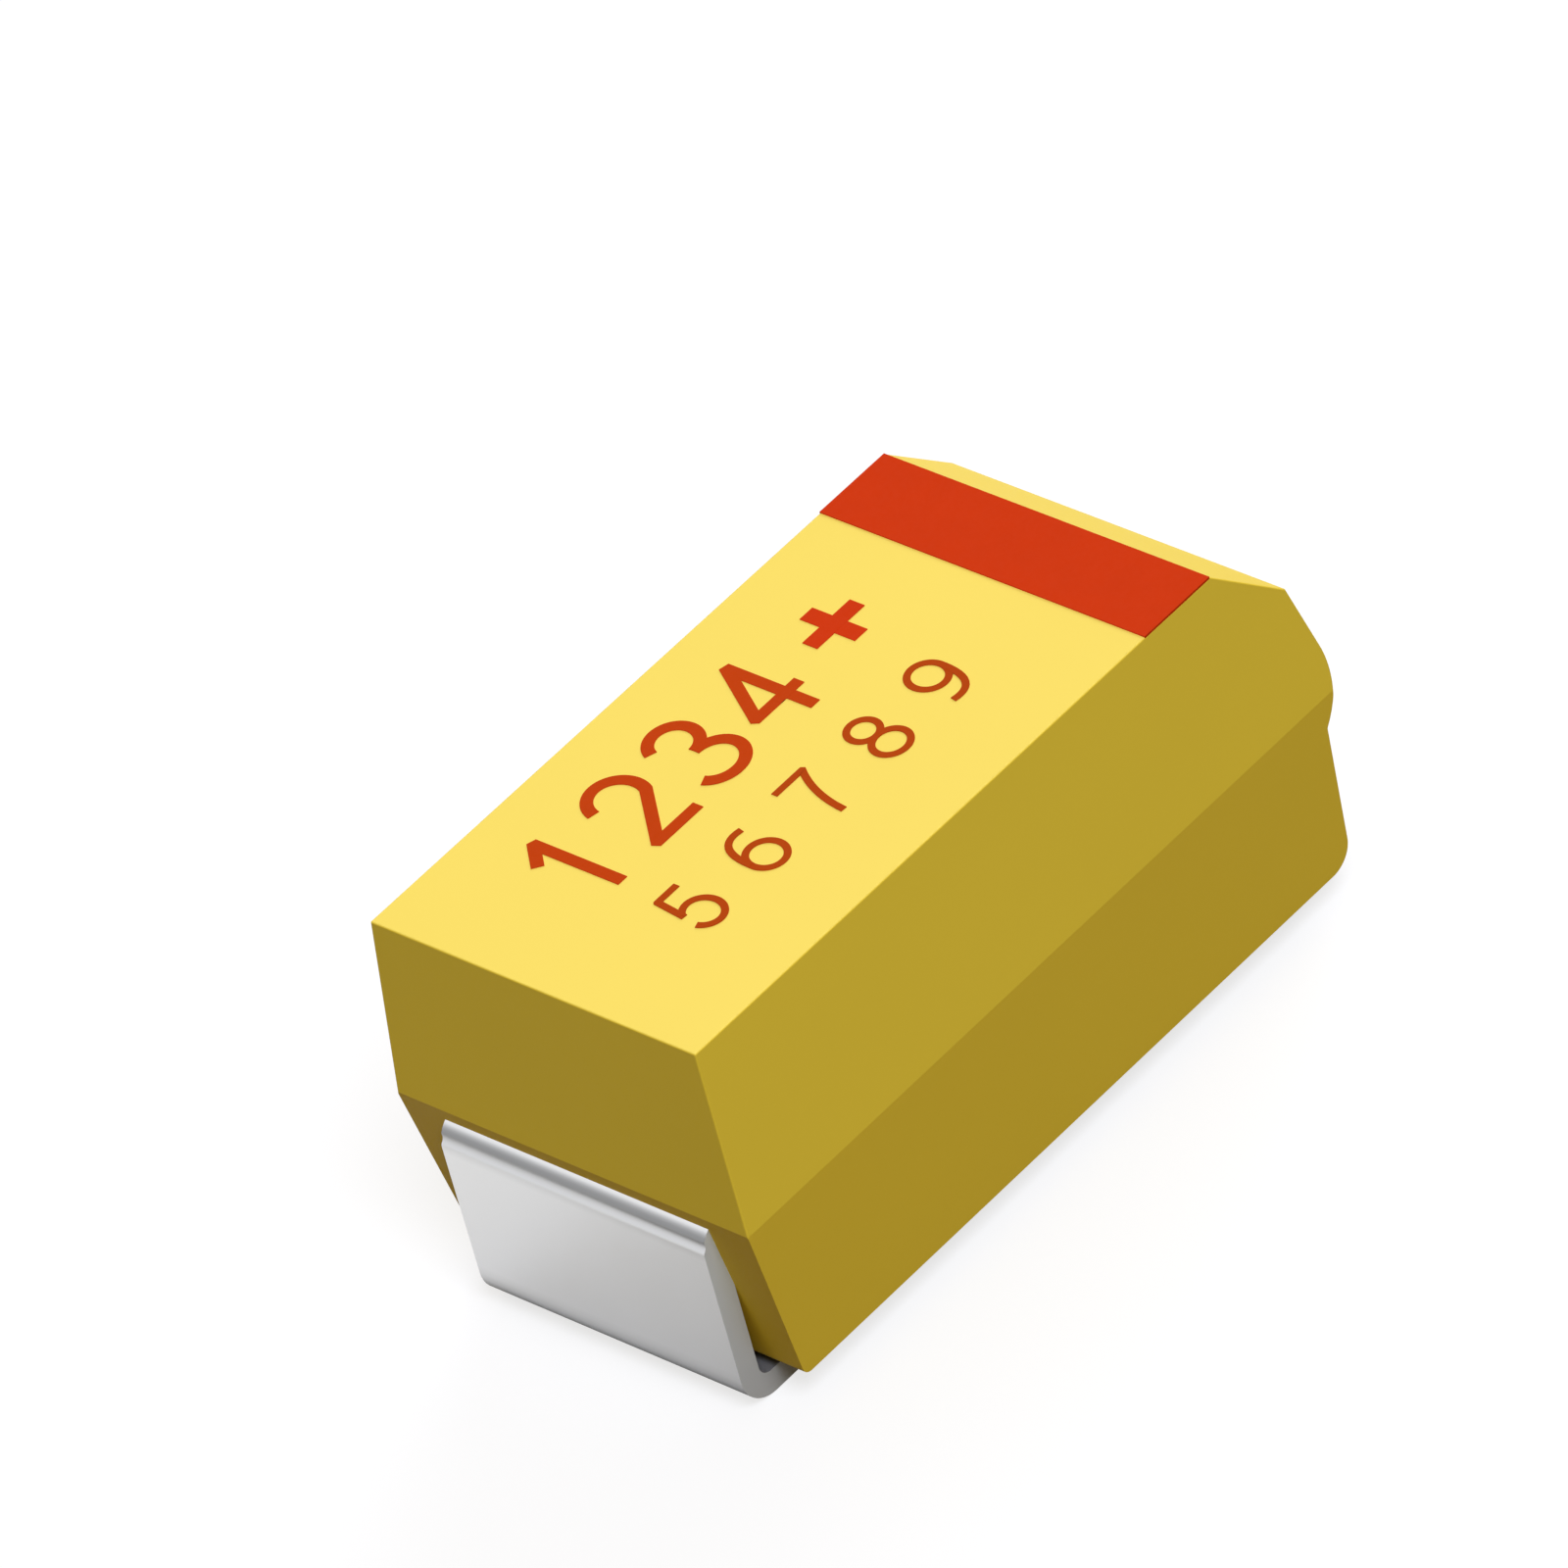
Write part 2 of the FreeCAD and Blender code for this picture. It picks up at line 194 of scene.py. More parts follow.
class MarkSettings(bpy.types.PropertyGroup):
    """Sizes and colours of the ink on the top face."""

    color: FloatVectorProperty(
        name="Ink", description="Colour of the large digits",
        subtype="COLOR", size=3, min=0.0, max=1.0, default=(0.555, 0.053, 0.001),
    )
    small_color: FloatVectorProperty(
        name="Thin ink", description="Colour of the small row, which is printed thinner",
        subtype="COLOR", size=3, min=0.0, max=1.0, default=(0.470, 0.060, 0.001),
    )
    stripe_color: FloatVectorProperty(
        name="Stripe", description="Colour of the polarity stripe and the plus sign",
        subtype="COLOR", size=3, min=0.0, max=1.0, default=(0.64, 0.040, 0.002),
    )
    ink_height: FloatProperty(
        name="Ink thickness", description="Thickness of the printed digits, in millimetres",
        min=0.001, max=0.02, default=0.003,
    )
    large_digits: StringProperty(
        name="Large row", description="Plain digits of the large row", default="1234",
    )
    large_place: FloatVectorProperty(
        name="Large place", description="Middle of the first large digit along X and its foot "
        "along Y, in millimetres", size=2, default=(-0.963, 0.078),
    )
    large_pitch: FloatProperty(
        name="Large pitch", description="Distance from one large digit to the next, "
        "in millimetres", min=0.0, max=1.0, default=0.322,
    )
    large_size: FloatVectorProperty(
        name="Large size", description="Width and height of a large digit, in millimetres",
        size=2, min=0.01, max=1.5, default=(0.265, 0.431),
    )
    large_stroke: FloatProperty(
        name="Large stroke", description="Stroke width of the large digits, in millimetres",
        min=0.005, max=0.2, default=0.047,
    )
    small_digits: StringProperty(
        name="Small row", description="Plain digits of the small row", default="56789",
    )
    small_place: FloatVectorProperty(
        name="Small place", description="Middle of the first small digit along X and its foot "
        "along Y, in millimetres", size=2, default=(-0.940, -0.372),
    )
    small_pitch: FloatProperty(
        name="Small pitch", description="Distance from one small digit to the next, "
        "in millimetres", min=0.0, max=1.0, default=0.321,
    )
    small_size: FloatVectorProperty(
        name="Small size", description="Width and height of a small digit, in millimetres",
        size=2, min=0.01, max=1.5, default=(0.165, 0.279),
    )
    small_stroke: FloatProperty(
        name="Small stroke", description="Stroke width of the small digits, in millimetres",
        min=0.005, max=0.2, default=0.027,
    )
    plus_place: FloatVectorProperty(
        name="Plus place", description="Middle of the plus sign along X and its foot along Y, "
        "in millimetres", size=2, default=(0.405, 0.138),
    )
    plus_size: FloatVectorProperty(
        name="Plus size", description="Width and height of the plus sign, in millimetres",
        size=2, min=0.01, max=1.5, default=(0.32, 0.32),
    )
    plus_stroke: FloatProperty(
        name="Plus stroke", description="Stroke width of the plus sign, in millimetres",
        min=0.005, max=0.2, default=0.068,
    )


class StageSettings(bpy.types.PropertyGroup):
    """Camera, lamps and background."""

    azimuth: FloatProperty(
        name="Azimuth", description="Direction from the part to the camera, from +X",
        subtype="ANGLE", default=math.radians(-129.213),
    )
    elevation: FloatProperty(
        name="Elevation", description="Height of the camera above the horizon",
        subtype="ANGLE", default=math.radians(38.453),
    )
    roll: FloatProperty(
        name="Roll", description="Turn of the camera about its own axis",
        subtype="ANGLE", default=math.radians(-15.685),
    )
    distance: FloatProperty(
        name="Distance", description="Camera to the middle of the part, in millimetres",
        min=5.0, max=500.0, default=60.0,
    )
    pixels_per_mm: FloatProperty(
        name="Scale", description="Pixels of the picture for a millimetre at the part's middle",
        min=10.0, max=2000.0, default=301.6,
    )
    offset: FloatVectorProperty(
        name="Offset", description="Middle of the part from the picture's middle, in pixels "
        "right and down", size=2, default=(89.92, 117.73),
    )
    fill_color: FloatVectorProperty(
        name="Fill", description="Colour of the even light",
        subtype="COLOR", size=3, min=0.0, max=1.0, default=(1.0, 0.78, 0.46),
    )
    ambient: FloatProperty(
        name="Ambient", description="Strength of the even light from all round",
        min=0.0, max=2.0, default=0.30,
    )
    key: FloatProperty(
        name="Key lamp", description="Irradiance of the key lamp, as a share of full white",
        min=0.0, max=4.0, default=0.60,
    )
    key_direction: FloatVectorProperty(
        name="Key direction", description="Direction from the part to the key lamp",
        subtype="XYZ", size=3, default=(-0.20, -0.48, 0.855),
    )
    key_spread: FloatProperty(
        name="Key softness", description="How wide the key lamp looks from the part",
        subtype="ANGLE", min=0.0, max=math.pi, default=math.radians(30),
    )
    back: FloatProperty(
        name="Back lamp", description="Irradiance of the lamp behind the part, as a share of "
        "full white", min=0.0, max=4.0, default=0.48,
    )
    back_direction: FloatVectorProperty(
        name="Back direction", description="Direction from the part to the back lamp",
        subtype="XYZ", size=3, default=(0.83, 0.36, 0.42),
    )
    back_spread: FloatProperty(
        name="Back softness", description="How wide the back lamp looks from the part",
        subtype="ANGLE", min=0.0, max=math.pi, default=math.radians(40),
    )
    floor_color: FloatVectorProperty(
        name="Floor", description="Part of the floor's white that a shadow can darken",
        subtype="COLOR", size=3, min=0.0, max=1.0, default=(0.28, 0.295, 0.34),
    )
    floor_glow: FloatProperty(
        name="Floor glow", description="Part of the floor's white that no shadow darkens",
        min=0.0, max=1.0, default=0.75,
    )
    bounce: FloatProperty(
        name="Floor bounce", description="Share of the light the floor throws back onto the part",
        subtype="FACTOR", min=0.0, max=1.0, default=0.04,
    )
    mirror_dark: FloatVectorProperty(
        name="Mirrored, dark", description="Floor as the tin mirrors it, at its dark side",
        subtype="COLOR", size=3, min=0.0, max=1.0, default=(0.415, 0.435, 0.475),
    )
    mirror_light: FloatVectorProperty(
        name="Mirrored, light", description="Floor as the tin mirrors it, at its light side",
        subtype="COLOR", size=3, min=0.0, max=1.0, default=(0.87, 0.92, 1.0),
    )
    mirror_width: FloatProperty(
        name="Mirror slope", description="Width of the slope from dark to light, in millimetres",
        min=0.1, max=100.0, default=2.8,
    )
    mirror_turn: FloatProperty(
        name="Mirror turn", description="Direction of that slope on the floor",
        subtype="ANGLE", default=math.radians(-114),
    )
    mirror_start: FloatProperty(
        name="Mirror start", description="Share of the slope's width it is moved along itself",
        min=-10.0, max=10.0, default=0.28,
    )


def settings(name):
    return getattr(bpy.context.scene, "capacitor_" + name)


class Nodes:
    """Short way to fill the node tree of a material or a world."""

    def __init__(self, owner, output):
        owner.use_nodes = True
        self.owner = owner
        self.tree = owner.node_tree
        self.tree.nodes.clear()
        self.output = self.add(output)

    def add(self, kind, **values):
        node = self.tree.nodes.new(kind)
        for key, value in values.items():
            setattr(node, key, value)
        return node

    def link(self, source, target):
        self.tree.links.new(source, target)

    def give(self, value, target):
        """Feeds a socket, a colour or a number to an input."""
        if isinstance(value, bpy.types.NodeSocket):
            self.link(value, target)
        elif isinstance(value, (int, float)):
            target.default_value = value
        else:
            target.default_value = (*value, 1.0)

    def calculate(self, operation, *values):
        """Result of a math operation on sockets or numbers."""
        node = self.add("ShaderNodeMath", operation=operation)
        for value, target in zip(values, node.inputs):
            self.give(value, target)
        return node.outputs["Value"]

    def remap(self, value, span, first=0.0, last=1.0):
        """Number that goes from first to last as value crosses span, and is held beyond it."""
        node = self.add("ShaderNodeMapRange")
        ends = {"From Min": span[0], "From Max": span[1], "To Min": first, "To Max": last}
        for name, end in ends.items():
            node.inputs[name].default_value = end
        self.link(value, node.inputs["Value"])
        return node.outputs["Result"]

    def around(self, noise, middle, swing):
        """Number that follows a noise, up to swing to each side of middle."""
        return self.remap(noise, NOISE_RANGE, middle - swing, middle + swing)

    def blend(self, factor, first, second):
        """Colour that follows factor from first to second, which may be sockets."""
        node = self.add("ShaderNodeMix", data_type="RGBA")
        self.give(first, node.inputs["A"])
        self.give(second, node.inputs["B"])
        self.link(factor, node.inputs["Factor"])
        return node.outputs["Result"]

    def object_coordinates(self, scale=(1.0, 1.0, 1.0)):
        """Object coordinates in millimetres, stretched by scale."""
        coordinates = self.add("ShaderNodeTexCoord")
        mapping = self.add("ShaderNodeMapping")
        mapping.inputs["Scale"].default_value = [value / MM for value in scale]
        self.link(coordinates.outputs["Object"], mapping.inputs["Vector"])
        return mapping.outputs["Vector"]

    def noise(self, vector, per_mm, detail=2.0, roughness=0.5):
        """Cloudy number with this many clouds in a millimetre."""
        node = self.add("ShaderNodeTexNoise")
        node.inputs["Scale"].default_value = per_mm
        node.inputs["Detail"].default_value = detail
        node.inputs["Roughness"].default_value = roughness
        self.link(vector, node.inputs["Vector"])
        return node.outputs["Fac"]

    def facing(self, axis, cosines, one_way=False):
        """0 to 1 as the surface's cosine against an axis crosses these two.

        One way, the cosine carries a sign: 1 looks along the axis and -1 against it.
        """
        split = self.add("ShaderNodeSeparateXYZ")
        self.link(self.add("ShaderNodeTexCoord").outputs["Normal"], split.inputs["Vector"])
        cosine = split.outputs[axis]
        return self.remap(cosine if one_way else self.calculate("ABSOLUTE", cosine), cosines)

    def height(self):
        """Height over the solder plane, in millimetres."""
        split = self.add("ShaderNodeSeparateXYZ")
        self.link(self.object_coordinates(), split.inputs["Vector"])
        return split.outputs["Z"]

    def height_ramp(self, stops):
        """Colour that follows the height; stops are (millimetres, colour)."""
        low, high = stops[0][0], stops[-1][0]
        ramp = self.add("ShaderNodeValToRGB")
        elements = ramp.color_ramp.elements
        while len(elements) < len(stops):
            elements.new(0.5)
        for element, (height, color) in zip(elements, stops):
            element.position = (height - low) / (high - low)
            element.color = (*color, 1.0)
        self.link(self.remap(self.height(), (low, high)), ramp.inputs["Fac"])
        return ramp.outputs["Color"]

    def bump(self, height, strength, relief):
        """Normal over a relief this many millimetres high."""
        node = self.add("ShaderNodeBump")
        node.inputs["Strength"].default_value = strength
        node.inputs["Distance"].default_value = relief * MM
        self.link(height, node.inputs["Height"])
        return node.outputs["Normal"]

    def rays(self, *kinds):
        """1 for rays of these kinds that haven't met a matt surface before, else 0."""
        path = self.add("ShaderNodeLightPath")
        share = path.outputs[kinds[0]]
        for kind in kinds[1:]:
            share = self.calculate("MAXIMUM", share, path.outputs[kind])
        first_hand = self.calculate("LESS_THAN", path.outputs["Diffuse Depth"], 0.5)
        return self.calculate("MULTIPLY", share, first_hand)

    def paper(self, color):
        """Diffuse shader; color may be a socket."""
        node = self.add("ShaderNodeBsdfDiffuse")
        self.give(color, node.inputs["Color"])
        return node.outputs["BSDF"]

    def glow(self, kind, color, strength):
        """Emission or background shader."""
        node = self.add(kind)
        self.give(color, node.inputs["Color"])
        self.give(strength, node.inputs["Strength"])
        return node.outputs[0]

    def mix(self, factor, first, second):
        node = self.add("ShaderNodeMixShader")
        self.link(factor, node.inputs["Fac"])
        self.link(first, node.inputs[1])
        self.link(second, node.inputs[2])
        return node.outputs["Shader"]

    def surface(self, color, roughness, normal, metallic=0.0, specular=0.5):
        """Ends a material in a principled shader; its values may be sockets or plain values."""
        shader = self.add("ShaderNodeBsdfPrincipled")
        self.give(color, shader.inputs["Base Color"])
        self.give(roughness, shader.inputs["Roughness"])
        self.give(metallic, shader.inputs["Metallic"])
        self.give(specular, shader.inputs["Specular IOR Level"])
        self.link(normal, shader.inputs["Normal"])
        self.link(shader.outputs["BSDF"], self.output.inputs["Surface"])
        return self.owner


def material_nodes(name):
    return Nodes(bpy.data.materials.new(name), "ShaderNodeOutputMaterial")


def shade(color, factor):
    return tuple(channel * factor for channel in color)


def resin_material():
    """Moulded epoxy: faint cloudy colour, painted sheen above, painted shade below, and a fine
    matt grain.
    """
    values = settings("resin")
    nodes = material_nodes("yellow_resin_finish")
    place = nodes.object_coordinates()
    clouds = nodes.noise(place, values.clouds_per_mm, detail=3.0)
    looks_up = nodes.facing("Z", LOOKS_UP, one_way=True)
    looks_down = nodes.facing("Z", LOOKS_DOWN, one_way=True)
    end_wall = nodes.facing("X", END_WALL)
    # Lit and shaded copies of the resin: painted sheen on faces that look up, painted shade on
    # walls that look down, deeper on the lower end walls.
    tones = []
    for share in (1 - values.mottle, 1.0):
        upper = nodes.blend(looks_up, shade(values.color, share), shade(values.painted_sheen_color, share))
        lower = nodes.blend(
            end_wall, shade(values.low_color, share),
            shade(values.low_color, share * values.low_end_shade))
        tones.append(nodes.blend(looks_down, upper, lower))
    color = nodes.blend(clouds, *tones)
    grain = nodes.noise(place, 1 / values.grain_size, detail=3.0, roughness=0.6)
    roughness = nodes.around(grain, values.roughness, swing=0.05)
    normal = nodes.bump(grain, values.grain_depth, values.grain_height)
    return nodes.surface(color, roughness, normal, specular=values.gloss)


def strip_material():
    """Matt tin plate over rolled strip.

    It carries painted shade along the coined line and round the bend of the foot, and a darker
    painted shade between the foot and the case, which is less metallic there, as are the sheared
    edges. These are painted lighter and bluer at the top and darker towards the feet.
    """
    values = settings("strip")
    nodes = material_nodes("tinned_strip_finish")
    # Painted shade by height, along the coined line and round the bend of the foot.
    plate = nodes.height_ramp(
        [(height, shade(values.color, share)) for height, share in TIN_SHADE_BY_HEIGHT])
    # Painted shade on the faces that look up under the case, which also turn less metallic.
    low = nodes.remap(nodes.height(), UNDER_THE_CASE, 1.0, 0.0)
    shaded_foot = nodes.calculate("MULTIPLY", nodes.facing("Z", TOP_OF_FOOT, one_way=True), low)
    sheared = nodes.facing("Y", SHEARED_EDGE)
    # Sheared edges: painted lighter and bluer at the top, painted shade towards the feet.
    edge = nodes.blend(
        nodes.remap(nodes.height(), EDGE_SHADE_SPAN), values.edge_shade_color, values.edge_color)
    color = nodes.blend(sheared, nodes.blend(shaded_foot, plate, values.painted_foot_shade), edge)
    dull = nodes.calculate("MAXIMUM", sheared, shaded_foot)
    metallic = nodes.remap(dull, (0.0, 1.0), 1.0, values.edge_shine)
    clouds = nodes.noise(nodes.object_coordinates(), per_mm=4.0, detail=3.0)
    roughness = nodes.around(clouds, values.roughness, swing=0.03)
    across_the_roll = nodes.object_coordinates(ROLLING_STRETCH)
    lines = nodes.noise(across_the_roll, per_mm=1 / values.rolling_pitch)
    normal = nodes.bump(lines, strength=0.05, relief=values.rolling_height)
    return nodes.surface(color, roughness, normal, metallic=metallic)


def ink_material(name, ink):
    """Printed ink, a little uneven, with the resin's grain showing through."""
    nodes = material_nodes(name)
    place = nodes.object_coordinates()
    patches = nodes.noise(place, per_mm=9.0, detail=3.0)
    color = nodes.blend(patches, shade(ink, THIN_PATCH), ink)
    grain = nodes.noise(place, per_mm=60.0)
    roughness = nodes.around(grain, middle=0.625, swing=0.075)
    normal = nodes.bump(grain, strength=0.10, relief=0.002)
    return nodes.surface(color, roughness, normal, specular=0.04)


def powder_material(name, low, high, per_mm, strength, roughness, metallic):
    """Finish of the parts of the element: sintered, painted or sprayed grains."""
    nodes = material_nodes(name)
    place = nodes.object_coordinates()
    grains = nodes.noise(place, per_mm, detail=4.0, roughness=0.65)
    color = nodes.blend(grains, low, high)
    spread = nodes.around(grains, roughness, swing=0.08)
    normal = nodes.bump(grains, strength, relief=0.004)
    return nodes.surface(color, spread, normal, metallic=metallic)


def dress(node, material):
    """Gives every face of a CAD node this material."""
    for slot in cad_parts[node].material_slots:
        slot.material = material


class CAPACITOR_OT_case(bpy.types.Operator):
    """Finish the moulded case"""

    bl_idname = "capacitor.case"
    bl_label = "Moulded case"

    def execute(self, context):
        dress("moulded_case", resin_material())
        return {"FINISHED"}


class CAPACITOR_OT_terminals(bpy.types.Operator):
    """Finish the two terminals"""

    bl_idname = "capacitor.terminals"
    bl_label = "Terminals"

    def execute(self, context):
        tin = strip_material()
        for node in ("cathode_terminal", "anode_terminal"):
            dress(node, tin)
        return {"FINISHED"}


# Node, name of its finish, two colours, grains in a millimetre, bump, roughness and metallic.
ELEMENT_FINISHES = (
    ("tantalum_pellet", "sintered_tantalum_finish",
     (0.05, 0.05, 0.06), (0.16, 0.16, 0.18), 40.0, 0.5, 0.7, 0.6),
    ("anode_wire", "tantalum_wire_finish",
     (0.30, 0.31, 0.35), (0.38, 0.39, 0.44), 15.0, 0.1, 0.35, 1.0),
    ("ptfe_washer", "white_ptfe_finish",
     (0.82, 0.82, 0.80), (0.90, 0.90, 0.88), 12.0, 0.1, 0.45, 0.0),
    ("manganese_dioxide_layer", "black_oxide_finish",
     (0.010, 0.010, 0.011), (0.035, 0.034, 0.036), 50.0, 0.6, 0.8, 0.0),
    ("graphite_layer", "graphite_finish",
     (0.030, 0.030, 0.033), (0.070, 0.070, 0.075), 30.0, 0.2, 0.5, 0.2),
    ("silver_layer", "silver_paint_finish",
     (0.50, 0.50, 0.48), (0.68, 0.68, 0.66), 35.0, 0.3, 0.5, 0.8),
    ("silver_adhesive", "silver_epoxy_finish",
     (0.40, 0.40, 0.38), (0.58, 0.58, 0.55), 25.0, 0.3, 0.5, 0.7),
)


class CAPACITOR_OT_element(bpy.types.Operator):
    """Finish the capacitor element inside the case"""

    bl_idname = "capacitor.element"
    bl_label = "Element"

    def execute(self, context):
        for node, *finish in ELEMENT_FINISHES:
            dress(node, powder_material(*finish))
        return {"FINISHED"}


def arc(center, radii, start, end):
    """Points on an ellipse from one angle to another, in degrees."""
    steps = max(4, round(abs(end - start) / ARC_STEP))
    angles = [math.radians(start + (end - start) * index / steps) for index in range(steps + 1)]
    return [
        (center[0] + radii[0] * math.cos(angle), center[1] + radii[1] * math.sin(angle))
        for angle in angles]


def swoop(start, pull, end):
    """Points on a curve from start to end that leans towards pull."""
    points = []
    for index in range(SWOOP_STEPS + 1):
        share = index / SWOOP_STEPS
        weights = ((1 - share) ** 2, 2 * share * (1 - share), share ** 2)
        points.append(tuple(
            weights[0] * start[axis] + weights[1] * pull[axis] + weights[2] * end[axis]
            for axis in range(2)))
    return points


def character_strokes(character):
    """Middle lines of a character's strokes in a box one unit wide and one high."""
    if character == "+":
        return [[(0.5, 0.0), (0.5, 1.0)], [(0.0, 0.5), (1.0, 0.5)]]
    if character == "0":
        return [arc((0.5, 0.5), (0.5, 0.5), 90, 450)]
    if character == "1":
        return [[(0.18, 0.76), (0.56, 1.0), (0.56, -0.06)]]
    if character == "2":
        return [arc((0.5, 0.71), (0.46, 0.29), 168, -28) + [(0.03, 0.0), (1.0, 0.0)]]
    if character == "3":
        return [
            arc((0.47, 0.76), (0.41, 0.24), 160, -90),
            arc((0.47, 0.26), (0.50, 0.26), 90, -162)]
    if character == "4":
        return [
            [(0.74, -0.06), (0.74, 1.0), (0.02, 0.29), (0.60, 0.29)],
            [(0.50, 0.29), (1.06, 0.29)]]
    if character == "5":
        return [
            [(0.92, 1.0), (0.20, 1.0), (0.10, 0.47)],
            arc((0.48, 0.31), (0.49, 0.31), 141, -162)]
    if character == "6":
        return [
            arc((0.5, 0.30), (0.5, 0.30), 90, 450),
            swoop((0.0, 0.34), (0.02, 1.06), (0.90, 0.94))]
    if character == "7":
        return [[(-0.06, 1.0)] + swoop((1.0, 1.0), (0.42, 0.55), (0.34, -0.06))]
    if character == "8":
        return [
            arc((0.5, 0.765), (0.42, 0.235), 90, 450),
            arc((0.5, 0.265), (0.5, 0.265), 90, 450)]
    if character == "9":
        return [[(1 - x, 1 - y) for x, y in stroke] for stroke in character_strokes("6")]
    raise ValueError("no strokes for " + character)


def ribbon(pieces, points, width, height):
    """Flat band along points, at this height; joined up when they close.

    Its corners are mitred, and sharp ones are cut blunt on the outside.
    """
    closed = (Vector(points[0]) - Vector(points[-1])).length < SAME_PLACE
    if closed:
        points = points[:-1]
    count = len(points)
    half = width / 2
    pairs = []
    for index in range(count):
        here = Vector(points[index])
        before = Vector(points[index - 1]) if closed or index > 0 else None
        after = Vector(points[(index + 1) % count]) if closed or index < count - 1 else None
        arriving = (here - before).normalized() if before is not None else None
        leaving = (after - here).normalized() if after is not None else arriving
        arriving = arriving or leaving
        lean = (arriving + leaving).normalized()
        reach = lean.orthogonal() * half / lean.dot(leaving)
        if arriving.dot(leaving) > SHARP_CORNER:
            pairs.append([pieces.verts.new((*(here + reach * side), height)) for side in (1, -1)])
            continue
        inside = 1 if arriving.cross(leaving) > 0 else -1
        inner = pieces.verts.new((*(here + reach * inside), height))
        for run, push in ((arriving, BLUNTNESS), (leaving, -BLUNTNESS)):
            outer = here - run.orthogonal() * half * inside + run * width * push
            pair = [inner, pieces.verts.new((*outer, height))]
            pairs.append(pair[::inside])
    for index in range(len(pairs) if closed else len(pairs) - 1):
        first, second = pairs[index], pairs[(index + 1) % len(pairs)]
        loop = [first[1], second[1], second[0], first[0]]
        pieces.faces.new([vert for spot, vert in enumerate(loop) if vert is not loop[spot - 1]])


def printed_row(name, words, place, pitch, size, stroke, material):
    """Characters laid flat on the top face, reading along +X with their tops towards +Y.

    place is the middle of the first character along X and its foot along Y; size is the width
    and height over the strokes. All are in millimetres.
    """
    ink_height = settings("marks").ink_height * MM
    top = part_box("moulded_case")[1].z
    inside = (size[0] - stroke, size[1] - stroke)
    pieces = bmesh.new()
    for index, character in enumerate(words):
        corner = (place[0] + pitch * index - inside[0] / 2, place[1] + stroke / 2)
        for layer, line in enumerate(character_strokes(character)):
            points = [
                tuple((corner[axis] + point[axis] * inside[axis]) * MM for axis in range(2))
                for point in line]
            ribbon(pieces, points, stroke * MM, top + layer * ink_height / LAYERS_IN_INK)
    skin = bmesh.ops.extrude_face_region(pieces, geom=list(pieces.faces))
    raised = [item for item in skin["geom"] if isinstance(item, bmesh.types.BMVert)]
    bmesh.ops.translate(pieces, verts=raised, vec=(0.0, 0.0, ink_height))
    bmesh.ops.recalc_face_normals(pieces, faces=pieces.faces)
    piece = mesh_object(name, pieces, material)
    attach(piece, BODY)


def mesh_object(name, pieces, material):
    """Turns a bmesh into an object of the scene."""
    mesh = bpy.data.meshes.new(name)
    pieces.to_mesh(mesh)
    pieces.free()
    mesh.materials.append(material)
    return scene_object(name, mesh)


def scene_object(name, data):
    piece = bpy.data.objects.new(name, data)
    bpy.context.scene.collection.objects.link(piece)
    return piece


class CAPACITOR_OT_marks(bpy.types.Operator):
    """Print the stripe, the plain digits and the plus sign"""

    bl_idname = "capacitor.marks"
    bl_label = "Printed marks"

    def execute(self, context):
        values = settings("marks")
        thick_ink = ink_material("red_stripe_finish", values.stripe_color)
        ink = ink_material("red_digit_finish", values.color)
        thin_ink = ink_material("thin_digit_finish", values.small_color)
        dress("polarity_stripe", thick_ink)
        printed_row(
            "large_digits", values.large_digits, values.large_place, values.large_pitch,
            values.large_size, values.large_stroke, ink)
        printed_row(
            "small_digits", values.small_digits, values.small_place, values.small_pitch,
            values.small_size, values.small_stroke, thin_ink)
        printed_row(
            "plus_sign", "+", values.plus_place, 0.0, values.plus_size, values.plus_stroke,
            thick_ink)
        return {"FINISHED"}


def lamp(name, direction, spread, irradiance):
    """Far away round lamp that gives this irradiance, as a share of white, face on."""
    data = bpy.data.lights.new(name, "SUN")
    data.angle = spread
    data.energy = irradiance * math.pi
    piece = scene_object(name, data)
    piece.rotation_euler = Vector(direction).to_track_quat("Z", "Y").to_euler()


def mirrored_floor(nodes, values):
    """The floor as a reflection shows it: a slope from grey to white."""
    along = nodes.add("ShaderNodeMapping")
    along.inputs["Rotation"].default_value = (0.0, 0.0, values.mirror_turn)
    along.inputs["Scale"].default_value = (1 / (values.mirror_width * MM),) * 3
    along.inputs["Location"].default_value = (values.mirror_start, 0.0, 0.0)
    nodes.link(nodes.add("ShaderNodeTexCoord").outputs["Object"], along.inputs["Vector"])
    slope = nodes.add("ShaderNodeTexGradient")
    nodes.link(along.outputs["Vector"], slope.inputs["Vector"])
    color = nodes.blend(slope.outputs["Fac"], values.mirror_dark, values.mirror_light)
    return nodes.paper(color)


def studio_floor(values):
    """Pale floor.

    The camera sees white with a light shadow, the tin mirrors a slope of greys, and the part
    gets next to no light from it.
    """
    nodes = material_nodes("floor_paper")
    seen = nodes.add("ShaderNodeAddShader")
    nodes.link(nodes.paper(values.floor_color), seen.inputs[0])
    nodes.link(nodes.glow("ShaderNodeEmission", WHITE, values.floor_glow), seen.inputs[1])
    unseen = nodes.mix(
        nodes.rays("Is Glossy Ray"),
        nodes.paper(shade(values.fill_color, values.bounce)),
        mirrored_floor(nodes, values))
    whole = nodes.mix(nodes.rays("Is Camera Ray"), unseen, seen.outputs["Shader"])
    nodes.link(whole, nodes.output.inputs["Surface"])
    plane = bmesh.new()
    bmesh.ops.create_grid(
        plane, x_segments=1, y_segments=1, size=FLOOR_HALF_SIDE * MM,
        matrix=Matrix.Translation((0.0, 0.0, -FLOOR_DROP * MM)))
    floor = mesh_object("studio_floor", plane, nodes.owner)


